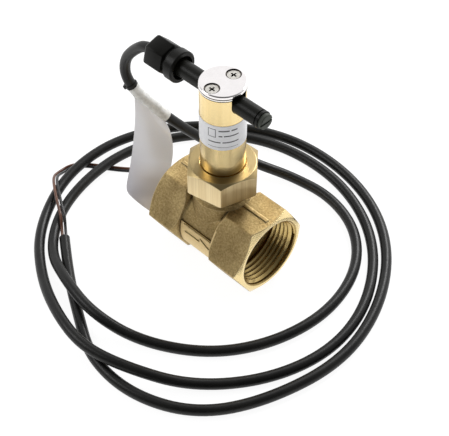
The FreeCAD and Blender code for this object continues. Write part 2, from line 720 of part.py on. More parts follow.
def tube_along(edges, radius):
    """Solid tube of this radius along a smooth path of edges."""
    path = Part.Wire(edges)
    start = edges[0].valueAt(edges[0].FirstParameter)
    heading = edges[0].tangentAt(edges[0].FirstParameter)
    profile = Part.Wire(Part.makeCircle(radius, start, heading))
    return path.makePipeShell([profile], True, False)


def cable_jacket():
    """Round cable from inside the gland to its stripped end."""
    edges, _, length = rounded_route(cable_route, "cable")
    jacket = tube_along(edges, cable_radius)
    print("cable volume over section times length",
          round(jacket.Volume / (math.pi * cable_radius ** 2 * length), 4))
    return jacket


def wire(side, name):
    """One of the two wires that leave the stripped end side by side."""
    end = cable_route[-1]
    ahead = (end - cable_route[-2]).normalize()
    middle = [end, end + ahead * wire_lead] + wire_route
    points = []
    for index, point in enumerate(middle):
        after = middle[min(index + 1, len(middle) - 1)]
        before = middle[max(index - 1, 0)]
        along = V(after.x - before.x, after.y - before.y, 0).normalize()
        if index < 2:
            along = ahead
        points.append(point + V(-along.y, along.x, 0) * (side * wire_pitch / 2))
    edges = rounded_route(points, name)[0]
    return tube_along(edges, wire_radius)


wrap_first = 4                      # the label is wrapped from the middle of this bend
wrap_last = 6                       # to the middle of this one
flag_low_corners = (V(-60, -8, 3), V(-45, -1, 2.5))
flag_side_way = V(-5, 3, 0)


def half_arc(arc, first_half):
    """The first or the second half of an arc of the route."""
    start, middle, end = arc
    whole = Part.Arc(start, middle, end).toShape()
    at_middle = whole.getParameterByLength(whole.Length / 2)
    return whole.split(at_middle).Edges[0 if first_half else 1]


def cable_flag():
    """Flag label: a sleeve wrapped round the cable and a sheet that hangs from it."""
    arcs = rounded_route(cable_route, "label on cable")[1]
    wrapped = [half_arc(arcs[wrap_first], False)]
    for index in range(wrap_first + 1, wrap_last):
        wrapped.append(Part.LineSegment(arcs[index - 1][2], arcs[index][0]).toShape())
        wrapped.append(Part.Arc(*arcs[index]).toShape())
    wrapped.append(Part.LineSegment(arcs[wrap_last - 1][2], arcs[wrap_last][0]).toShape())
    wrapped.append(half_arc(arcs[wrap_last], True))
    inner_radius = cable_radius + wrap_gap
    sleeve = tube_along(wrapped, inner_radius + wrap_thickness).cut(tube_along(wrapped, inner_radius))
    start = arcs[wrap_first][1]
    end = arcs[wrap_last][1]
    along = (end - start).normalize()
    below = (along * Z_DIR.dot(along) - Z_DIR).normalize() * (inner_radius + wrap_thickness)
    upper = Part.LineSegment(start + below, end + below).toShape()
    lower = Part.LineSegment(flag_low_corners[0], flag_low_corners[1]).toShape()
    sheet = Part.makeRuledSurface(upper, lower).extrude(flag_side_way.normalize() * flag_thickness)
    return Part.makeCompound([sleeve, sheet])


# ---------------------------------------------------------------- export
pieces = {
    "pipe_tee": pipe_tee(),
    "union_nut": union_nut(),
    "union_seal": union_seal(),
    "sensor_housing": sensor_housing(),
    "clamp_plate": clamp_plate(),
    "clamp_screws": clamp_screws(),
    "type_label": type_label(),
    "paddle_carrier": paddle_carrier(),
    "pivot_pin": pivot_pin(),
    "magnet_seat": magnet_seat(),
    "return_magnet": return_magnet(),
    "paddle_lever": paddle_lever(),
    "paddle_blade": paddle_blade(),
    "blade_rivets": blade_rivets(),
    "paddle_magnet": paddle_magnet(),
    "reed_carrier": reed_carrier(),
    "end_plug": end_plug(),
    "reed_sleeve": reed_sleeve(),
    "reed_capsule": reed_capsule(),
    "reed_leads": reed_leads(),
    "cable_cores": cable_cores(),
    "gland_body": gland_body(),
    "gland_seal": gland_seal(),
    "gland_nut": gland_nut(),
    "cable_jacket": cable_jacket(),
    "wire_brown": wire(1, "brown wire"),
    "wire_black": wire(-1, "black wire"),
    "cable_flag": cable_flag(),
}

os.makedirs("parts", exist_ok=True)
for node, shape in pieces.items():
    box_of = shape.BoundBox
    print("%-16s solids %d volume %9.2f valid %s z %.2f..%.2f" % (
        node, len(shape.Solids), shape.Volume, shape.isValid(), box_of.ZMin, box_of.ZMax))
    shape.exportStep("parts/%s.step" % node)
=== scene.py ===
"""Looks of the paddle flow switch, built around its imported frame.

Materials, camera and light are in metres. Outlines, routes and mesh helpers take millimetres, and MM turns
millimetres into metres.
"""
import math

import bmesh
import bpy
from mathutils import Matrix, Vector


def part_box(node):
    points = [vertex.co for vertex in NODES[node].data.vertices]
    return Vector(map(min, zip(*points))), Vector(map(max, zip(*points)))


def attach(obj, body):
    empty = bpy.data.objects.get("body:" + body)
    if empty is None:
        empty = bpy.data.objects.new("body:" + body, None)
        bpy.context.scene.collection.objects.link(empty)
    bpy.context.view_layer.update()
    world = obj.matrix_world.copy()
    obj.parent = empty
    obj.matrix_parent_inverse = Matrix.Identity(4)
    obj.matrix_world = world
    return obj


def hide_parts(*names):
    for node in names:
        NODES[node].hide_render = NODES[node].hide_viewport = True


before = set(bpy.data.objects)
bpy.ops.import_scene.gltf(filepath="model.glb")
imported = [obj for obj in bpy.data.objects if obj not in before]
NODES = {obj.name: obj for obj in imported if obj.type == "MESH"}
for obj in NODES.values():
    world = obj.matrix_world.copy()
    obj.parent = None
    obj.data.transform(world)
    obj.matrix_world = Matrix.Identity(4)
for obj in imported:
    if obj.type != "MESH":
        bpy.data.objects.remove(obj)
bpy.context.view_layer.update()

MM = 0.001

# ---------------------------------------------------------------- sizes of the frame that the looks follow
PIPE_HEIGHT = 19 * MM
RUN_MIDDLE = 0.75 * MM
BORE_SKIN = 17.25 * MM
BARREL_SKIN = 17.85 * MM
TURNED_FROM = 24 * MM
PAD_HALF_LENGTH = 10.2 * MM
PAD_BACK = -15.2 * MM
GROOVE_BOTTOM = 98.3 * MM
RIM_BOTTOM = 98.85 * MM
RIM_SHADE = 99.45 * MM
PLATE_SHADE = 99.95 * MM
HEAD_SURFACE = 100.8 * MM
SCREW_REACH = 6.3 * MM
SCREW_RING = 3.4 * MM

# ruled lines of the label: from and to in millimetres round the tube (0 at +X), from and to in height
LABEL_RADIUS = 10.1
LABEL_BARS = [
    (-14.6, -11.0, 83.2, 83.5), (-14.6, -11.0, 79.0, 79.3), (-14.6, -14.3, 79.0, 83.5),
    (-11.3, -11.0, 79.0, 83.5), (-9.8, -5.2, 82.4, 83.1), (-4.4, -1.6, 82.4, 83.1),
    (-9.8, -8.2, 79.6, 80.2), (-7.6, -1.0, 79.6, 80.2), (-14.6, -9.0, 76.1, 76.7), (-8.2, -1.0, 76.1, 76.7),
    (-14.6, -1.0, 73.6, 73.8)]

# painted light and shade on the flag's film runs up to this height, and across between these two places
FILM_HEIGHT = 60 * MM
FILM_LEFT = -57 * MM
FILM_RIGHT = -43 * MM


# ---------------------------------------------------------------- material helpers
SHADE_SAMPLES = 6
EDGE_START, EDGE_GAIN = 0.985, 12.0
# ambient occlusion mask for painted shade in corners: where it starts and how fast it grows
CORNER_SHADE_START, CORNER_SHADE_GAIN = 0.9, 1.8


def add_node(tree, kind, inputs=None, **settings):
    """A new shader node; inputs maps a socket's name or number to a value or to another node's output."""
    made = tree.nodes.new("ShaderNode" + kind)
    for key, value in settings.items():
        setattr(made, key, value)
    for key, value in (inputs or {}).items():
        if isinstance(value, bpy.types.NodeSocket):
            tree.links.new(value, made.inputs[key])
        else:
            made.inputs[key].default_value = value
    return made


def add_ramp(tree, value, stops):
    """Output of a new colour ramp made of (position, colour) stops."""
    made = add_node(tree, "ValToRGB", {"Fac": value})
    band = made.color_ramp
    while len(band.elements) < len(stops):
        band.elements.new(0.5)
    for element, (position, color) in zip(band.elements, stops):
        element.position = position
        element.color = (*color, 1)
    return made.outputs["Color"]


class Look:
    """A node material with one Principled shader and short calls to add nodes to it."""

    def __init__(self, name, color, roughness, metallic=0.0, **sockets):
        self.material = bpy.data.materials.new(name)
        self.material.use_nodes = True
        self.tree = self.material.node_tree
        self.shader = self.tree.nodes["Principled BSDF"]
        self.shader.inputs["Base Color"].default_value = (*color, 1)
        self.shader.inputs["Roughness"].default_value = roughness
        self.shader.inputs["Metallic"].default_value = metallic
        for socket, value in sockets.items():
            self.shader.inputs[socket.replace("_", " ")].default_value = value
        self.bump_input = None

    def node(self, kind, inputs=None, **settings):
        """A new node of this material."""
        return add_node(self.tree, kind, inputs, **settings)

    def where(self):
        """Place on the object, in metres."""
        return self.node("TexCoord").outputs["Object"]

    def position(self):
        """X, Y and Z of the place on the object."""
        return self.node("SeparateXYZ", {0: self.where()}).outputs

    def facing(self):
        """X, Y and Z of the way that the surface faces."""
        return self.node("SeparateXYZ", {0: self.node("TexCoord").outputs["Normal"]}).outputs

    def noise(self, scale, detail=3.0, stretch=(1, 1, 1), roughness=0.55):
        """Noise value from 0 to 1; scale is in cells per metre."""
        place = self.node("Mapping", {"Vector": self.where(), "Scale": stretch}).outputs["Vector"]
        inputs = {"Vector": place, "Scale": scale, "Detail": detail, "Roughness": roughness}
        return self.node("TexNoise", inputs).outputs["Fac"]

    def rings(self, axis, scale, distortion, detail):
        """Turning marks round an axis, from 0 to 1."""
        inputs = {"Vector": self.where(), "Scale": scale, "Distortion": distortion, "Detail": detail}
        return self.node("TexWave", inputs, wave_type="RINGS", rings_direction=axis).outputs["Fac"]

    def ramp(self, value, stops):
        """Colour ramp from (position, colour) stops."""
        return add_ramp(self.tree, value, stops)

    def math(self, operation, a, b=0.0, clamp=False):
        """One Math node."""
        return self.node("Math", {0: a, 1: b}, operation=operation, use_clamp=clamp).outputs[0]

    def plus(self, a, b):
        return self.math("ADD", a, b)

    def minus(self, a, b):
        return self.math("SUBTRACT", a, b)

    def times(self, a, b, clamp=False):
        return self.math("MULTIPLY", a, b, clamp)

    def above(self, value, limit):
        return self.math("GREATER_THAN", value, limit)

    def below(self, value, limit):
        return self.math("LESS_THAN", value, limit)

    def either(self, a, b):
        """The larger of two values."""
        return self.math("MAXIMUM", a, b)

    def length(self, a, b):
        """Length of the vector (a, b)."""
        return self.math("SQRT", self.plus(self.times(a, a), self.times(b, b)))

    def mix(self, factor, a, b):
        """Mix of two colours."""
        made = self.node("Mix", data_type="RGBA")
        for socket, value in ((made.inputs[0], factor), (made.inputs[6], a), (made.inputs[7], b)):
            if isinstance(value, bpy.types.NodeSocket):
                self.tree.links.new(value, socket)
            else:
                socket.default_value = (*value, 1)
        return made.outputs[2]

    def scaled(self, value, low, high):
        """value from 0..1 to low..high."""
        return self.node("MapRange", {"Value": value, "To Min": low, "To Max": high}).outputs["Result"]

    def share(self, value, low, high):
        """value from low..high to 0..1."""
        return self.node("MapRange", {"Value": value, "From Min": low, "From Max": high}).outputs["Result"]

    def color(self, output):
        self.tree.links.new(output, self.shader.inputs["Base Color"])

    def roughness(self, output):
        self.tree.links.new(output, self.shader.inputs["Roughness"])

    def edges(self, radius):
        """0 to 1 near edges, within radius in metres; the shading also rounds them."""
        rounded = self.node("Bevel", {"Radius": radius}, samples=SHADE_SAMPLES).outputs["Normal"]
        flat = self.node("NewGeometry").outputs["Normal"]
        along = self.node("VectorMath", {0: rounded, 1: flat}, operation="DOT_PRODUCT").outputs["Value"]
        self.bump_input = rounded
        return self.times(self.minus(EDGE_START, along), EDGE_GAIN, clamp=True)

    def corner_shade(self, distance):
        """0 in the open to 1 in corners and beside raised forms, within distance in metres, from ambient
        occlusion: the mask for painted shade.
        """
        shade = self.node("AmbientOcclusion", {"Distance": distance}, samples=SHADE_SAMPLES).outputs["AO"]
        return self.times(self.minus(CORNER_SHADE_START, shade), CORNER_SHADE_GAIN, clamp=True)

    def bump(self, height, strength, distance):
        """Adds a bump layer; distance is in metres."""
        made = self.node("Bump", {"Height": height, "Strength": strength, "Distance": distance})
        if self.bump_input is not None:
            self.tree.links.new(self.bump_input, made.inputs["Normal"])
        self.bump_input = made.outputs["Normal"]
        self.tree.links.new(self.bump_input, self.shader.inputs["Normal"])


def dress(piece, look):
    """Gives a piece one material in place of what it has."""
    piece.data.materials.clear()
    piece.data.materials.append(look.material)


# ---------------------------------------------------------------- materials
def cast_brass_look():
    """Cast brass with grain and brown patches, painted shade in its corners, edges brightened partly by wear
    and partly by a painted highlight, and a painted reflection on the pad; turned and bright at the ends,
    turned and darker with painted shade in the bores.
    """
    look = Look("cast_brass", (0.4, 0.28, 0.11), 0.5, 1.0)
    place = look.position()
    radius = look.length(place["Y"], look.minus(place["Z"], PIPE_HEIGHT))
    from_middle = look.math("ABSOLUTE", look.minus(place["X"], RUN_MIDDLE))
    faces_out = look.above(look.math("ABSOLUTE", look.facing()["X"]), 0.35)
    inside = look.below(radius, BORE_SKIN)
    turned = look.either(inside, look.times(look.above(from_middle, TURNED_FROM), faces_out))
    rough_cast = look.minus(1.0, turned)
    # mask of the pad, which gets a painted reflection of the floor
    pad_highlight = look.times(look.above(radius, BARREL_SKIN), look.below(from_middle, PAD_HALF_LENGTH))
    pad_highlight = look.times(pad_highlight, look.below(place["Y"], PAD_BACK))
    fine = look.noise(2600, 4, roughness=0.7)
    grain = look.noise(1100, 4, roughness=0.65)
    patches = look.noise(60, 3)
    cast = look.ramp(look.plus(look.times(grain, 0.55), look.times(patches, 0.45)),
                     [(0.34, (0.23, 0.157, 0.062)), (0.5, (0.40, 0.29, 0.128)), (0.66, (0.62, 0.47, 0.225))])
    # pale gold on the edges is partly wear and partly a painted highlight; on the pad it is a painted
    # reflection
    wear_and_highlight = look.either(look.times(look.edges(0.9 * MM), 0.75), look.times(pad_highlight, 0.7))
    cast = look.mix(wear_and_highlight, cast, (0.92, 0.72, 0.38))
    # painted shade: near-black brown in corners and beside raised forms
    cast = look.mix(look.corner_shade(1.6 * MM), cast, (0.055, 0.036, 0.012))
    rings = look.rings("X", 1900, 1.2, 1.5)
    bright = look.ramp(rings, [(0.2, (0.84, 0.65, 0.31)), (0.8, (0.96, 0.78, 0.42))])
    # turned brass inside the bores made darker: painted shade
    shaded_bore = look.ramp(rings, [(0.2, (0.40, 0.28, 0.10)), (0.8, (0.55, 0.40, 0.16))])
    look.color(look.mix(turned, cast, look.mix(inside, bright, shaded_bore)))
    look.roughness(look.plus(look.times(look.scaled(fine, 0.42, 0.6), rough_cast), look.times(turned, 0.24)))
    look.bump(look.times(look.plus(fine, grain), rough_cast), 0.5, 0.35 * MM)
    look.bump(look.times(rings, turned), 0.1, 0.05 * MM)
    return look


def thread_look():
    """Cut thread: brass whose colour is darkened as painted shade inside the mouths."""
    look = Look("thread_brass_painted_shade", (0.6, 0.45, 0.2), 0.22, 1.0)
    fine = look.noise(500, 2)
    # darker brass than the turned ends: painted shade inside the mouth
    look.color(look.ramp(fine, [(0.3, (0.52, 0.37, 0.14)), (0.7, (0.66, 0.49, 0.20))]))
    look.roughness(look.scaled(fine, 0.2, 0.3))
    return look


def nut_look():
    """Machined brass nut: lines drawn down the flats, turning rings on the top, whose darker colour is
    painted shade.
    """
    look = Look("machined_brass", (0.7, 0.54, 0.28), 0.3, 1.0)
    on_top = look.above(look.facing()["Z"], 0.3)
    lines = look.noise(2200, 3, (1, 1, 0.012))
    wide = look.noise(420, 2, (1, 1, 0.02))
    flats = look.ramp(look.plus(look.times(lines, 0.5), look.times(wide, 0.5)),
                      [(0.35, (0.74, 0.56, 0.29)), (0.65, (0.95, 0.78, 0.47))])
    rings = look.rings("Z", 1500, 1.0, 2.0)
    # the top darker than the flats: painted shade
    top = look.ramp(rings, [(0.2, (0.36, 0.27, 0.12)), (0.8, (0.47, 0.36, 0.18))])
    # pale gold on the edges: partly wear, partly a painted highlight
    wear_and_highlight = look.times(look.edges(0.4 * MM), 0.6)
    look.color(look.mix(wear_and_highlight, look.mix(on_top, flats, top), (0.92, 0.76, 0.46)))
    look.roughness(look.scaled(lines, 0.24, 0.42))
    look.bump(look.times(lines, look.minus(1.0, on_top)), 0.25, 0.1 * MM)
    look.bump(look.times(rings, on_top), 0.12, 0.06 * MM)
    return look


def tube_look():
    """Polished brass tube with faint drawn lines and a nickel-white rim between two dark lines of painted
    shade: in the groove below the rim and under the plate above it.
    """
    look = Look("polished_brass", (0.95, 0.76, 0.40), 0.12, 1.0)
    height = look.position()["Z"]
    streaks = look.noise(700, 3, (1, 1, 0.02))
    gold = look.ramp(streaks, [(0.3, (0.90, 0.69, 0.34)), (0.7, (0.97, 0.77, 0.40))])
    rim = look.above(height, RIM_BOTTOM)
    # dark brown in the groove and at the top of the rim under the plate: painted shade
    groove = look.minus(look.above(height, GROOVE_BOTTOM), rim)
    dark = look.either(groove, look.above(height, RIM_SHADE))
    look.color(look.mix(dark, look.mix(rim, gold, (0.90, 0.87, 0.82)), (0.07, 0.045, 0.02)))
    look.roughness(look.scaled(streaks, 0.20, 0.30))
    return look


def plate_look():
    """Polished nickel plate, with painted shade in the ring round each screw head and along its lower edge.
    """
    look = Look("nickel_plate", (0.93, 0.90, 0.89), 0.08, 1.0)
    place = look.position()
    from_screw = look.length(place["X"], look.minus(look.math("ABSOLUTE", place["Y"]), SCREW_REACH))
    # near black in the countersink rings and along the lower edge: painted shade
    dark = look.either(look.below(from_screw, SCREW_RING), look.below(place["Z"], PLATE_SHADE))
    smudge = look.noise(250, 4)
    metal = look.ramp(smudge, [(0.3, (0.90, 0.87, 0.86)), (0.7, (0.95, 0.92, 0.91))])
    look.color(look.mix(dark, metal, (0.10, 0.09, 0.08)))
    look.roughness(look.scaled(smudge, 0.06, 0.12))
    return look


def screw_look():
    """Bright flat screw head whose cross recess is painted black as shade."""
    look = Look("screw_steel", (0.7, 0.68, 0.65), 0.25, 1.0)
    sunk = look.below(look.position()["Z"], HEAD_SURFACE)
    smudge = look.noise(900, 3)
    metal = look.ramp(smudge, [(0.3, (0.52, 0.50, 0.46)), (0.7, (0.70, 0.68, 0.63))])
    # near black in the cross recess: painted shade
    look.color(look.mix(sunk, metal, (0.015, 0.014, 0.012)))
    look.roughness(look.either(look.scaled(smudge, 0.2, 0.34), look.times(sunk, 0.8)))
    return look


def metal_look(name, dark, light, rough_low, rough_high, scale=600):
    """Plain metal with faint smudges."""
    look = Look(name, light, rough_low, 1.0)
    smudge = look.noise(scale, 4)
    look.color(look.ramp(smudge, [(0.3, dark), (0.7, light)]))
    look.roughness(look.scaled(smudge, rough_low, rough_high))
    return look


def plastic_look(name, dark, light, rough_low, rough_high):
    """Moulded plastic or rubber with a fine grain."""
    look = Look(name, light, rough_low, Specular_IOR_Level=0.18)
    fine = look.noise(1400, 4, roughness=0.65)
    look.color(look.ramp(look.noise(120, 3), [(0.3, dark), (0.7, light)]))
    look.roughness(look.scaled(fine, rough_low, rough_high))
    look.bump(fine, 0.35, 0.08 * MM)
    return look


def label_look():
    """White film with a ruled frame and plain lines, like a blank form."""
    look = Look("label_film", (0.8, 0.8, 0.81), 0.3)
    place = look.position()
    around = look.times(look.math("ARCTAN2", place["Y"], place["X"]), LABEL_RADIUS)
    high = look.times(place["Z"], 1 / MM)

    def between(value, low, high):
        """1 from low to high."""
        return look.times(look.above(value, low), look.below(value, high))

    ink = 0.0
    for first, last, bottom, top in LABEL_BARS:
        ink = look.either(ink, look.times(between(around, first, last), between(high, bottom, top)))
    paper = look.ramp(look.noise(350, 3), [(0.3, (0.84, 0.84, 0.86)), (0.7, (0.90, 0.90, 0.91))])
    look.color(look.mix(ink, paper, (0.06, 0.06, 0.065)))
    look.roughness(look.scaled(look.noise(900, 3), 0.26, 0.36))
    return look


def film_look():
    """Satin film of the flag with painted light: silvery above, greyer below as painted shade on the left,
    browner below as a painted reflection of the brass on the right, and a faint painted glow.
    """
    # the faint emission is a painted glow
    look = Look("flag_film", (0.8, 0.8, 0.83), 0.3, 0.1,
                Emission_Color=(0.9, 0.9, 0.95, 1), Emission_Strength=0.14)
    place = look.position()
    height = look.share(place["Z"], 0.0, FILM_HEIGHT)
    # ramps by height: painted shade low on the left, painted reflection of the brass low on the right
    left = look.ramp(height, [(0.05, (0.34, 0.32, 0.34)), (0.25, (0.50, 0.48, 0.50)),
                              (0.5, (0.74, 0.74, 0.77)), (0.8, (0.86, 0.86, 0.89)),
                              (1.0, (0.84, 0.84, 0.85))])
    right = look.ramp(height, [(0.05, (0.28, 0.20, 0.10)), (0.2, (0.48, 0.38, 0.24)),
                               (0.36, (0.92, 0.91, 0.91)), (0.8, (0.96, 0.96, 0.98)),
                               (1.0, (0.90, 0.90, 0.90))])
    across = look.share(place["X"], FILM_LEFT, FILM_RIGHT)
    look.color(look.mix(across, left, right))
    wave = look.noise(160, 2)
    look.roughness(look.scaled(wave, 0.28, 0.4))
    look.bump(wave, 0.1, 0.4 * MM)
    return look


def wrap_look():
    """Where the flag's film lies round the cable: matt, greyish white and wrinkled, with painted shade in the
    hollows of the wrinkles.
    """
    look = Look("flag_wrap", (0.78, 0.78, 0.72), 0.4)
    crease = look.noise(420, 3)
    # darker where the bump is low, in the hollows of the wrinkles: painted shade
    look.color(look.ramp(crease, [(0.35, (0.72, 0.72, 0.69)), (0.6, (0.93, 0.93, 0.91))]))
    look.roughness(look.scaled(crease, 0.35, 0.5))
    look.bump(crease, 0.4, 0.5 * MM)
    return look


def cable_look():
    """Black cable jacket, slightly uneven along its length."""
    look = Look("cable_pvc", (0.02, 0.02, 0.019), 0.36, Specular_IOR_Level=0.3)
    fine = look.noise(900, 4)
    long = look.noise(60, 2)
    look.color(look.ramp(long, [(0.3, (0.007, 0.007, 0.0065)), (0.7, (0.014, 0.014, 0.0125))]))
    look.roughness(look.scaled(fine, 0.3, 0.46))
    look.bump(fine, 0.12, 0.2 * MM)
    look.bump(long, 0.3, 0.6 * MM)
    return look


def wire_look(name, dark, light):
    """Thin insulation of one wire."""
    look = Look(name, light, 0.38)
    look.color(look.ramp(look.noise(300), [(0.35, dark), (0.65, light)]))
    look.bump(look.noise(2500), 0.1, 0.1 * MM)
    return look


CAST = cast_brass_look()
SHADED_THREAD = thread_look()
NUT = nut_look()
TUBE = tube_look()
NICKEL = plate_look()
SCREW = screw_look()
STAINLESS = metal_look("stainless", (0.45, 0.44, 0.43), (0.62, 0.61, 0.60), 0.22, 0.36)
MAGNET = metal_look("magnet", (0.10, 0.10, 0.11), (0.17, 0.17, 0.18), 0.35, 0.5)
TIN = metal_look("tinned_copper", (0.62, 0.60, 0.57), (0.80, 0.78, 0.75), 0.25, 0.4, 2500)
LABEL = label_look()
FILM = film_look()
WRAP = wrap_look()
ROD = plastic_look("rod_plastic", (0.005, 0.005, 0.0035), (0.010, 0.010, 0.0075), 0.30, 0.42)
PLUG = plastic_look("plug_plastic", (0.055, 0.060, 0.050), (0.085, 0.092, 0.078), 0.42, 0.58)
GLAND = plastic_look("gland_plastic", (0.006, 0.006, 0.005), (0.012, 0.012, 0.0105), 0.26, 0.40)
RUBBER = plastic_look("seal_rubber", (0.010, 0.010, 0.010), (0.022, 0.022, 0.021), 0.55, 0.75)
CARRIER = plastic_look("carrier_plastic", (0.045, 0.045, 0.047), (0.075, 0.075, 0.078), 0.38, 0.52)
CORES = plastic_look("core_plastic", (0.10, 0.04, 0.02), (0.16, 0.07, 0.035), 0.35, 0.5)
GLASS = Look("reed_glass", (0.75, 0.85, 0.75), 0.05, Transmission_Weight=0.9, IOR=1.5)
CABLE = cable_look()
BROWN = wire_look("wire_brown_pvc", (0.10, 0.035, 0.018), (0.17, 0.07, 0.035))
BLACK = wire_look("wire_black_pvc", (0.012, 0.012, 0.012), (0.03, 0.03, 0.03))

NODE_LOOKS = {
    "pipe_tee": CAST, "union_nut": NUT, "union_seal": RUBBER, "sensor_housing": TUBE,
    "clamp_plate": NICKEL, "clamp_screws": SCREW, "type_label": LABEL, "paddle_carrier": CARRIER,
    "pivot_pin": STAINLESS, "magnet_seat": CARRIER, "return_magnet": MAGNET, "paddle_lever": CARRIER,
    "paddle_blade": STAINLESS, "blade_rivets": STAINLESS, "paddle_magnet": MAGNET, "reed_carrier": ROD,
    "end_plug": PLUG, "reed_sleeve": CARRIER, "reed_capsule": GLASS, "reed_leads": TIN,
    "cable_cores": CORES, "gland_body": GLAND, "gland_seal": RUBBER, "gland_nut": GLAND}
for node_name, node_look in NODE_LOOKS.items():
    dress(NODES[node_name], node_look)

# ---------------------------------------------------------------- camera
CAMERA_PLACE = (0.2512, -0.2538, 0.4024)
CAMERA_LOOKS_DOWN = 46.97
CAMERA_TURNED_ROUND = 44.6
CAMERA_LENS = 91.65

bpy.context.scene.view_settings.view_transform = "Standard"
camera = bpy.data.objects.new("camera", bpy.data.cameras.new("camera"))
bpy.context.scene.collection.objects.link(camera)
bpy.context.scene.camera = camera
camera.data.lens = CAMERA_LENS
camera.data.sensor_width = 36
camera.data.clip_end = 20
camera.location = CAMERA_PLACE
camera.rotation_euler = (math.radians(90 - CAMERA_LOOKS_DOWN), 0, math.radians(CAMERA_TURNED_ROUND))


# ---------------------------------------------------------------- mesh helpers
def placed(name, data, look):
    """New object in the scene, made of a mesh or a curve and given one material."""
    piece = bpy.data.objects.new(name, data)
    bpy.context.scene.collection.objects.link(piece)
    data.materials.append(look.material)
    return piece


def mesh_piece(name, vertices, faces, look, smooth=True):
    """Mesh object from vertices in millimetres."""
    mesh = bpy.data.meshes.new(name)
    mesh.from_pydata([tuple(Vector(vertex) * MM) for vertex in vertices], [], faces)
    if smooth:
        mesh.shade_smooth()
    return placed(name, mesh, look)


def strip_faces(rows, columns, closed=False):
    """Quads of a grid of rows by columns vertices; closed joins the last column to the first."""
    faces = []
    for row in range(rows - 1):
        for column in range(columns if closed else columns - 1):
            after = (column + 1) % columns
            faces.append((row * columns + column, row * columns + after,
                          (row + 1) * columns + after, (row + 1) * columns + column))
    return faces


def shifted(faces, first):
    """The same faces on vertices that start at number first."""
    return [tuple(first + corner for corner in face) for face in faces]


# ---------------------------------------------------------------- cable and wires
def nurbs(name, points, radius, look):
    """Round cord on one smooth curve; control points in millimetres, radius in metres."""
    curve = bpy.data.curves.new(name, "CURVE")
    curve.dimensions = "3D"
    curve.bevel_depth = radius
    curve.bevel_resolution = 6
    curve.resolution_u = 10
    curve.use_fill_caps = True
    spline = curve.splines.new("NURBS")
    spline.points.add(len(points) - 1)
    for knot, point in zip(spline.points, points):
        knot.co = (*(Vector(point) * MM), 1)
    spline.order_u = 3
    spline.use_endpoint_u = True
    return placed(name, curve, look)


def curve_line(points):
    """Points along the smooth curve with these control points, in millimetres."""
    helper = nurbs("helper", points, 0, CABLE)
    bpy.context.view_layer.update()
    line = bpy.data.meshes.new_from_object(helper)
    places = [vertex.co / MM for vertex in line.vertices]
    bpy.data.meshes.remove(line)
    bpy.data.objects.remove(helper)
    return places


def heading(line, index):
    """Direction of a line of points at one of them."""
    return (line[min(index + 1, len(line) - 1)] - line[max(index - 1, 0)]).normalized()


def crosswise(along, reference):
    """Two directions square to along and to each other."""
    side = along.cross(Vector(reference)).normalized()
    return side, side.cross(along)


CABLE_RADIUS = 2.5 * MM
FLOOR_LINE = 2.5
OVER_CABLE = 7.9
OVER_WIRES = 4.1

CABLE_ROUTE = [
    # from inside the gland, round and down through the flag label to the floor
    (-36, 0, 94.4), (-45.8, 0, 94.4), (-54, 0, 87.6), (-60.8, -0.3, 79), (-62, -0.5, 69),
    (-57.8, 1.5, 60.5), (-53.4, 8, 50), (-49, 15, 39.5), (-43, 26.5, 25), (-33.5, 38.5, 12.5),
    (-21.5, 48.5, 5),
    # first turn, over the last turn's end and over the wires
    (-7, 55.5, FLOOR_LINE), (16, 58.5, FLOOR_LINE), (39.5, 50, FLOOR_LINE), (56, 30.5, FLOOR_LINE),
    (62.3, 3, FLOOR_LINE), (56.5, -25.5, FLOOR_LINE), (41, -49.5, FLOOR_LINE), (15, -66, FLOOR_LINE),
    (-9, -73, OVER_CABLE), (-33, -68.5, OVER_CABLE), (-54, -60, FLOOR_LINE), (-69.8, -41.3, FLOOR_LINE),
    (-76.8, -18.5, OVER_WIRES), (-78, 7.5, OVER_WIRES), (-70, 34, FLOOR_LINE), (-52, 55, FLOOR_LINE),
    # second turn, again over the last turn's end and over the wires
    (-26, 68.5, FLOOR_LINE), (6, 70.5, FLOOR_LINE), (34.5, 61, FLOOR_LINE), (57, 43, FLOOR_LINE),
    (73, 16, FLOOR_LINE), (77, -13, FLOOR_LINE), (67.5, -42.5, FLOOR_LINE), (47, -67.5, 3),
    (22, -82.2, 7.3), (1, -87.7, OVER_CABLE), (-21, -83.5, OVER_CABLE), (-44.5, -73, 3.2),
    (-66, -57.5, FLOOR_LINE), (-82.3, -33.5, FLOOR_LINE), (-87.8, -11.5, OVER_WIRES),
    (-86.5, 13.5, OVER_WIRES), (-75, 40.5, FLOOR_LINE), (-53, 62.5, FLOOR_LINE),
    # last turn, which ends inside the others where the jacket is stripped
    (-25.5, 76, FLOOR_LINE), (6, 77.5, FLOOR_LINE), (36, 68.3, FLOOR_LINE), (60.5, 48.7, FLOOR_LINE),
    (77.8, 19, FLOOR_LINE), (84, -14, FLOOR_LINE), (74.5, -50.3, FLOOR_LINE), (58.5, -75, FLOOR_LINE),
    (32.7, -87.5, FLOOR_LINE), (5.5, -87, FLOOR_LINE), (-16.5, -75, FLOOR_LINE),
    (-37, -63.3, FLOOR_LINE), (-55.6, -50, FLOOR_LINE)]

WIRE_RADIUS = 0.7 * MM
WIRE_PITCH = 1.7 * MM
WIRE_LEAD = 5.0
WIRE_LINE = 0.7
WIRE_ROUTE = [
    (-63.2, -44, 6.9), (-70.5, -40, 7.9), (-80, -34.2, 7.9), (-88.6, -28.2, 4.8),
    (-92.3, -22, WIRE_LINE), (-92, -15, WIRE_LINE), (-87, -9.5, WIRE_LINE), (-78, -3.5, WIRE_LINE),
    (-69, 3, WIRE_LINE), (-62, 10, WIRE_LINE)]
TIP_RADIUS = 0.42 * MM
TIP_REACH = (-1, 2, 4.5)


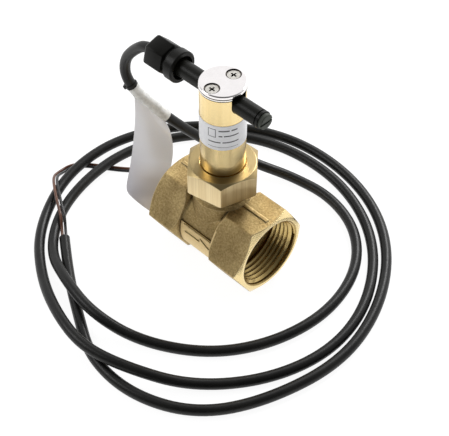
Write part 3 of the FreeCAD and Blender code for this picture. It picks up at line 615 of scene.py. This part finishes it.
def wire_points(side):
    """Control points of one of the two wires that leave the stripped end side by side."""
    end = Vector(CABLE_ROUTE[-1])
    ahead = (end - Vector(CABLE_ROUTE[-2])).normalized()
    middle = [end, end + ahead * WIRE_LEAD] + [Vector(point) for point in WIRE_ROUTE]
    points = []
    for index, point in enumerate(middle):
        along = ahead if index < 2 else heading(middle, index)
        across = Vector((-along.y, along.x, 0)).normalized()
        points.append(point + across * (side * WIRE_PITCH / MM / 2))
    return points


# ---------------------------------------------------------------- flag label and tie on the cable
# left and right edges of the flag, from the cable down to the floor
FLAG_LEFT = [(-57.4, 0.4, 59.6), (-56.6, -1.0, 47.5), (-57.2, -3.1, 31.5), (-57.8, -5.3, 17.9),
             (-58.5, -7.3, 7.2), (-58.0, -8.0, 2.8), (-56.0, -8.4, 1.0)]
FLAG_RIGHT = [(-50.8, 11.4, 41.8), (-47.2, 12.0, 35.6), (-44.6, 11.3, 29.6), (-42.6, 9.4, 23.9),
              (-41.6, 6.4, 17.6), (-40.6, 0.0, 8.4), (-40.6, -9.2, 1.0)]
FLAG_ROWS = 36
FLAG_COLUMNS = 20
FLAG_BULGE = Vector((0.8, -1.36, 0.16))
FLAG_RIPPLE = Vector((0.3, 0.2, 0.0))
DROP_SIDE = -45
WRAP_TOP = 63.0
WRAP_BOTTOM = 42.4
WRAP_RADIUS = 2.78
WRAP_SIDES = 28
# wrinkles of the wrap: height, waves along the cable and waves round it
WRAP_WRINKLES = [(0.09, 1.1, 3), (0.07, 0.37, -2)]
# section of the tie's band (along the cable, radius), and its head (reach, half width)
TIE_SECTION = [(-0.6, 2.5), (-0.6, 2.95), (0.6, 2.95), (0.6, 2.5)]
TIE_HEAD = [(2.6, 0.95), (3.9, 0.95), (4.3, 0.6)]
TIE_HEAD_WAY = (-0.8, -0.5, 0.0)
SQUARE = [(-1, -1), (1, -1), (1, 1), (-1, 1)]


def through(points, fraction):
    """Point on a smooth line through the given points; fraction runs from 0 to 1."""
    place = min(fraction, 0.9999) * (len(points) - 1)
    index = int(place)
    rest = place - index
    first, second = Vector(points[index]), Vector(points[index + 1])
    before = Vector(points[max(index - 1, 0)])
    after = Vector(points[min(index + 2, len(points) - 1)])
    return (first * (2 - 5 * rest ** 2 + 3 * rest ** 3) + second * (rest + 4 * rest ** 2 - 3 * rest ** 3)
            + before * (-rest + 2 * rest ** 2 - rest ** 3) + after * (rest ** 3 - rest ** 2)) / 2


def flag_label():
    """Film flag: wrapped round the cable, with a leaf that hangs down in a soft curve."""
    line = [point for point in curve_line(CABLE_ROUTE)
            if WRAP_BOTTOM < point.z < WRAP_TOP and point.x < DROP_SIDE]
    vertices = []
    for index, point in enumerate(line):
        side, above = crosswise(heading(line, index), (0, 0, 1))
        for step in range(WRAP_SIDES):
            angle = 2 * math.pi * step / WRAP_SIDES
            radius = WRAP_RADIUS + sum(height * math.sin(index * along + around * angle)
                                       for height, along, around in WRAP_WRINKLES)
            vertices.append(point + (side * math.cos(angle) + above * math.sin(angle)) * radius)
    faces = strip_faces(len(line), WRAP_SIDES, closed=True)
    wrap_faces = len(faces)
    faces += shifted(strip_faces(FLAG_ROWS, FLAG_COLUMNS), len(vertices))
    for row in range(FLAG_ROWS):
        down = row / (FLAG_ROWS - 1)
        for column in range(FLAG_COLUMNS):
            across = column / (FLAG_COLUMNS - 1)
            place = through(FLAG_LEFT, down).lerp(through(FLAG_RIGHT, down), across)
            swell = math.sin(math.pi * across) * math.sin(math.pi * (0.1 + 0.8 * down))
            vertices.append(place + FLAG_BULGE * swell + FLAG_RIPPLE * math.sin(5 * down + 2 * across))
    piece = mesh_piece("flag_label", vertices, faces, FILM)
    piece.data.materials.append(WRAP.material)
    for face in piece.data.polygons[:wrap_faces]:
        face.material_index = 1
    return piece


def cable_tie():
    """Thin black tie round the cable, just above the flag, with its small head."""
    line = [point for point in curve_line(CABLE_ROUTE) if point.x < DROP_SIDE and point.z > WRAP_TOP]
    middle = min(line, key=lambda point: point.z)
    along = (middle - line[line.index(middle) - 1]).normalized()
    side, above = crosswise(along, (0, -1, 0))
    vertices = []
    for step in range(WRAP_SIDES):
        angle = 2 * math.pi * step / WRAP_SIDES
        outward = side * math.cos(angle) + above * math.sin(angle)
        vertices += [middle + along * shift + outward * radius for shift, radius in TIE_SECTION]
    corners = len(TIE_SECTION)
    last = corners * (WRAP_SIDES - 1)
    faces = strip_faces(WRAP_SIDES, corners, closed=True)
    faces += [(last + corner, last + (corner + 1) % corners, (corner + 1) % corners, corner)
              for corner in range(corners)]
    head_faces = strip_faces(len(TIE_HEAD), 4, closed=True) + [(3, 2, 1, 0), (8, 9, 10, 11)]
    faces += shifted(head_faces, len(vertices))
    head_way = Vector(TIE_HEAD_WAY).normalized()
    head_way = (head_way - along * head_way.dot(along)).normalized()
    head_side = head_way.cross(along)
    for reach, half in TIE_HEAD:
        for lengthwise, sideways in SQUARE:
            vertices.append(middle + head_way * reach + along * (lengthwise * half)
                            + head_side * (sideways * half))
    return mesh_piece("cable_tie", vertices, faces, CABLE, smooth=False)


tie = cable_tie()
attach(tie, "reed_slider")

flag = flag_label()
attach(flag, "reed_slider")
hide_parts("cable_flag")

cable = nurbs("cable", CABLE_ROUTE, CABLE_RADIUS, CABLE)
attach(cable, "reed_slider")
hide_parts("cable_jacket")

for name, node, side, look, slot, length in (("brown_wire", "wire_brown", 1, BROWN, "brown_pvc", 0.096),
                                             ("black_wire", "wire_black", -1, BLACK, "black_pvc", 0.093)):
    points = wire_points(side)
    wire = nurbs(name, points, WIRE_RADIUS, look)
    ahead = (points[-1] - points[-2]).normalized()
    tip_points = [points[-1] + ahead * way for way in TIP_REACH]
    tip = nurbs(node + "_tip", tip_points, TIP_RADIUS, TIN)
    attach(tip, "reed_slider")
    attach(wire, "reed_slider")
    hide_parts(node)


# ---------------------------------------------------------------- cap nut of the cable gland
CAP_LOW, CAP_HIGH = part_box("gland_nut")
CAP_TURN = 15
CAP_CORNER = 0.9
CAP_CORNER_GROWTH = 0.6
CAP_ARC_STEPS = 5
CAP_EDGE = 1.7
CAP_EDGE_STEPS = 8
CAP_CHAMFER = 0.3
CAP_SEAT = 2.6
CAP_MOUTH = 2.95
CAP_MOUTH_DEPTH = 2.2


def rounded_hexagon(flats, corner):
    """Points (across, up) of a hexagon with rounded corners."""
    points = []
    middle_reach = (flats / 2 - corner) / math.cos(math.radians(30))
    for side in range(6):
        middle = math.radians(CAP_TURN + 60 * side)
        for step in range(CAP_ARC_STEPS + 1):
            turn = middle + math.radians(-30 + 60 * step / CAP_ARC_STEPS)
            points.append((middle_reach * math.cos(middle) + corner * math.cos(turn),
                           middle_reach * math.sin(middle) + corner * math.sin(turn)))
    return points


def cap_nut():
    """Hexagonal cap with soft corners and a rounded end, which the cable leaves."""
    corners_apart = (CAP_HIGH.y - CAP_LOW.y) / MM / math.cos(math.radians(CAP_TURN))
    flats = corners_apart * math.cos(math.radians(30))
    inner_end, outer_end = CAP_HIGH.x / MM, CAP_LOW.x / MM
    middle_z = (CAP_HIGH.z + CAP_LOW.z) / 2 / MM
    # places along the rod, and how far the outline stands back there
    sections = [(inner_end, CAP_SEAT), (inner_end, CAP_CHAMFER), (inner_end - CAP_CHAMFER, 0.0)]
    for step in range(CAP_EDGE_STEPS + 1):
        turn = math.pi / 2 * step / CAP_EDGE_STEPS
        sections.append((outer_end + CAP_EDGE * (1 - math.sin(turn)), CAP_EDGE * (1 - math.cos(turn))))
    vertices = []
    for x, back in sections:
        outline = rounded_hexagon(flats - 2 * back, CAP_CORNER + CAP_CORNER_GROWTH * back)
        vertices += [(x, across, middle_z + up) for across, up in outline]
    mouth = [(outer_end, CAP_MOUTH + CAP_CHAMFER), (outer_end + CAP_CHAMFER, CAP_MOUTH),
             (outer_end + CAP_MOUTH_DEPTH, CAP_MOUTH)]
    angles = [math.atan2(up, across) for across, up in rounded_hexagon(flats, CAP_CORNER)]
    for x, radius in mouth:
        vertices += [(x, radius * math.cos(angle), middle_z + radius * math.sin(angle)) for angle in angles]
    faces = strip_faces(len(sections) + len(mouth), len(angles), closed=True)
    return mesh_piece("gland_cap", vertices, faces, GLAND)


cap = cap_nut()
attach(cap, "reed_slider")
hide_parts("gland_nut")


# ---------------------------------------------------------------- pipe threads
TEE_LOW, TEE_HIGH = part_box("pipe_tee")
THREAD_MAJOR = 16.6
THREAD_MINOR = 15.15
THREAD_PITCH = 2.309
THREAD_LENGTH = 12.6
THREAD_CHAMFER = 0.45
THREAD_STEPS = 72
# the first turn grows from a share of the depth within some turns, and the last one fades within some turns
THREAD_START, THREAD_RISE, THREAD_FADE = 0.25, 0.35, 0.6
# section of one turn: along the pipe in pitches, and height in thread depths
THREAD_PROFILE = [(-0.5, 0.0), (-0.42, 0.05), (-0.14, 0.9), (0.0, 1.0), (0.14, 0.9), (0.42, 0.05), (0.5, 0.0)]


def pipe_thread(name, face_x, way):
    """Helical inside thread that starts at a mouth and runs out towards the passage."""
    rows = int(THREAD_LENGTH / THREAD_PITCH * THREAD_STEPS)
    vertices = []
    for row in range(rows + 1):
        angle = 2 * math.pi * row / THREAD_STEPS
        travel = THREAD_PITCH * row / THREAD_STEPS
        depth = min(1.0, THREAD_START + row / (THREAD_RISE * THREAD_STEPS),
                    (rows - row) / (THREAD_FADE * THREAD_STEPS))
        for shift, height in THREAD_PROFILE:
            inward = min(max(travel + (shift + 0.5) * THREAD_PITCH, THREAD_CHAMFER), THREAD_LENGTH)
            radius = THREAD_MAJOR - (THREAD_MAJOR - THREAD_MINOR) * height * depth
            vertices.append((face_x - way * inward, radius * math.cos(way * angle),
                             PIPE_HEIGHT / MM + radius * math.sin(way * angle)))
    piece = mesh_piece(name, vertices, strip_faces(rows + 1, len(THREAD_PROFILE)), SHADED_THREAD)
    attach(piece, "body")


pipe_thread("outlet_pipe_thread", TEE_HIGH.x / MM, 1)
pipe_thread("inlet_pipe_thread", TEE_LOW.x / MM, -1)


# ---------------------------------------------------------------- pad and flow arrow cast on the barrel
PAD_FROM, PAD_TO = 162, 207
PAD_SLICES = 15
PAD_BASE = 17.2
PAD_TOP = 18.16
FORM_ANGLE = 178
FORM_HEIGHT = 0.5
FORM_SINK = 0.1
FORM_EDGE = 0.12
ARROW_OUTLINE = [(-7.0, -0.9), (2.4, -0.9), (2.4, -2.6), (8.6, 0.0), (2.4, 2.6), (2.4, 0.9), (-7.0, 0.9)]
BORDER_OUTLINE = [(-8.4, -4.5), (9.4, -4.5), (9.4, -4.15), (-8.4, -4.15)]


def on_barrel(x, radius, degrees):
    """Point in millimetres; degrees run round the barrel, with 180 at -Y."""
    angle = math.radians(degrees)
    return (RUN_MIDDLE / MM + x, radius * math.cos(angle), PIPE_HEIGHT / MM + radius * math.sin(angle))


def barrel_pad():
    """Smooth raised pad that holds the arrow."""
    half = PAD_HALF_LENGTH / MM
    section = [(-half, PAD_BASE), (-half, PAD_TOP), (half, PAD_TOP), (half, PAD_BASE)]
    vertices = []
    for index in range(PAD_SLICES + 1):
        degrees = PAD_FROM + (PAD_TO - PAD_FROM) * index / PAD_SLICES
        vertices += [on_barrel(x, radius, degrees) for x, radius in section]
    faces = strip_faces(PAD_SLICES + 1, len(section), closed=True)
    faces += [(0, 1, 2, 3)] + shifted([(3, 2, 1, 0)], len(section) * PAD_SLICES)
    piece = mesh_piece("barrel_pad", vertices, faces, CAST, smooth=False)
    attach(piece, "body")


def raised_form(name, outline):
    """Flat outline (along the pipe, round the barrel) raised from the pad."""
    made = bmesh.new()
    face = made.faces.new([made.verts.new((x, across, 0)) for x, across in outline])
    top = bmesh.ops.extrude_face_region(made, geom=[face])
    for item in top["geom"]:
        if isinstance(item, bmesh.types.BMVert):
            item.co.z = FORM_HEIGHT
    edges = [edge for edge in made.edges if all(vertex.co.z > FORM_HEIGHT / 2 for vertex in edge.verts)]
    bmesh.ops.bevel(made, geom=edges, offset=FORM_EDGE, segments=2, affect="EDGES")
    for vertex in made.verts:
        degrees = FORM_ANGLE + math.degrees(vertex.co.y / PAD_TOP)
        vertex.co = Vector(on_barrel(vertex.co.x, PAD_TOP - FORM_SINK + vertex.co.z, degrees)) * MM
    bmesh.ops.recalc_face_normals(made, faces=made.faces)
    mesh = bpy.data.meshes.new(name)
    made.to_mesh(mesh)
    made.free()
    piece = placed(name, mesh, CAST)
    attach(piece, "body")


barrel_pad()
raised_form("flow_arrow", ARROW_OUTLINE)
raised_form("pad_border", BORDER_OUTLINE)


# ---------------------------------------------------------------- floor, backdrop and light
FLOOR_SIZE = 6
FLOOR_GLOW = 0.93
# the room fades to dark on this side: (share of the way there, brightness)
ROOM_DARK_SIDE = (0.52, -0.68, 0.52)
ROOM_STOPS = [(0.38, 1.0), (0.5, 0.62), (0.69, 0.28), (1.0, 0.05)]
ROOM_BLUE = 1.01
# name, place, size and power
LAMPS = [("key", (-0.55, -0.55, 0.7), 0.45, 2.5), ("back", (-0.17, 0.8, 0.72), 0.4, 7)]
LAMP_AIM = Vector((0, 0, 0.04))


def studio_world():
    """Room that shining surfaces see fade to dark above the viewer; the camera sees it plain white."""
    world = bpy.data.worlds.new("studio")
    world.use_nodes = True
    tree = world.node_tree
    tree.nodes.clear()
    where = add_node(tree, "TexCoord").outputs["Generated"]
    lean = add_node(tree, "VectorMath", {0: where, 1: ROOM_DARK_SIDE}, operation="DOT_PRODUCT")
    way_there = add_node(tree, "Math", {0: lean.outputs["Value"], 1: 0.5, 2: 0.5}, operation="MULTIPLY_ADD")
    stops = [(stop, (level, level, level * ROOM_BLUE)) for stop, level in ROOM_STOPS]
    shade = add_ramp(tree, way_there.outputs[0], stops)
    room = add_node(tree, "Background", {"Color": shade}).outputs[0]
    plain = add_node(tree, "Background", {"Color": (1, 1, 1, 1)}).outputs[0]
    seen = add_node(tree, "LightPath").outputs["Is Camera Ray"]
    both = add_node(tree, "MixShader", {0: seen, 1: room, 2: plain}).outputs[0]
    add_node(tree, "OutputWorld", {"Surface": both})
    bpy.context.scene.world = world


def stage_and_light():
    """Pale floor and large soft lights."""
    bpy.ops.mesh.primitive_plane_add(size=FLOOR_SIZE, location=(0, 0, 0))
    floor = bpy.context.object
    floor.name = "floor"
    look = Look("floor_paper", (0.2, 0.2, 0.2), 0.9, Specular_IOR_Level=0.1,
                Emission_Color=(1, 1, 1, 1), Emission_Strength=FLOOR_GLOW)
    dress(floor, look)
    for name, place, size, power in LAMPS:
        lamp = bpy.data.lights.new(name, "AREA")
        lamp.size = size
        lamp.energy = power
        holder = bpy.data.objects.new(name, lamp)
        holder.location = place
        holder.rotation_euler = (LAMP_AIM - Vector(place)).to_track_quat("-Z", "Y").to_euler()
        bpy.context.scene.collection.objects.link(holder)


studio_world()
stage_and_light()
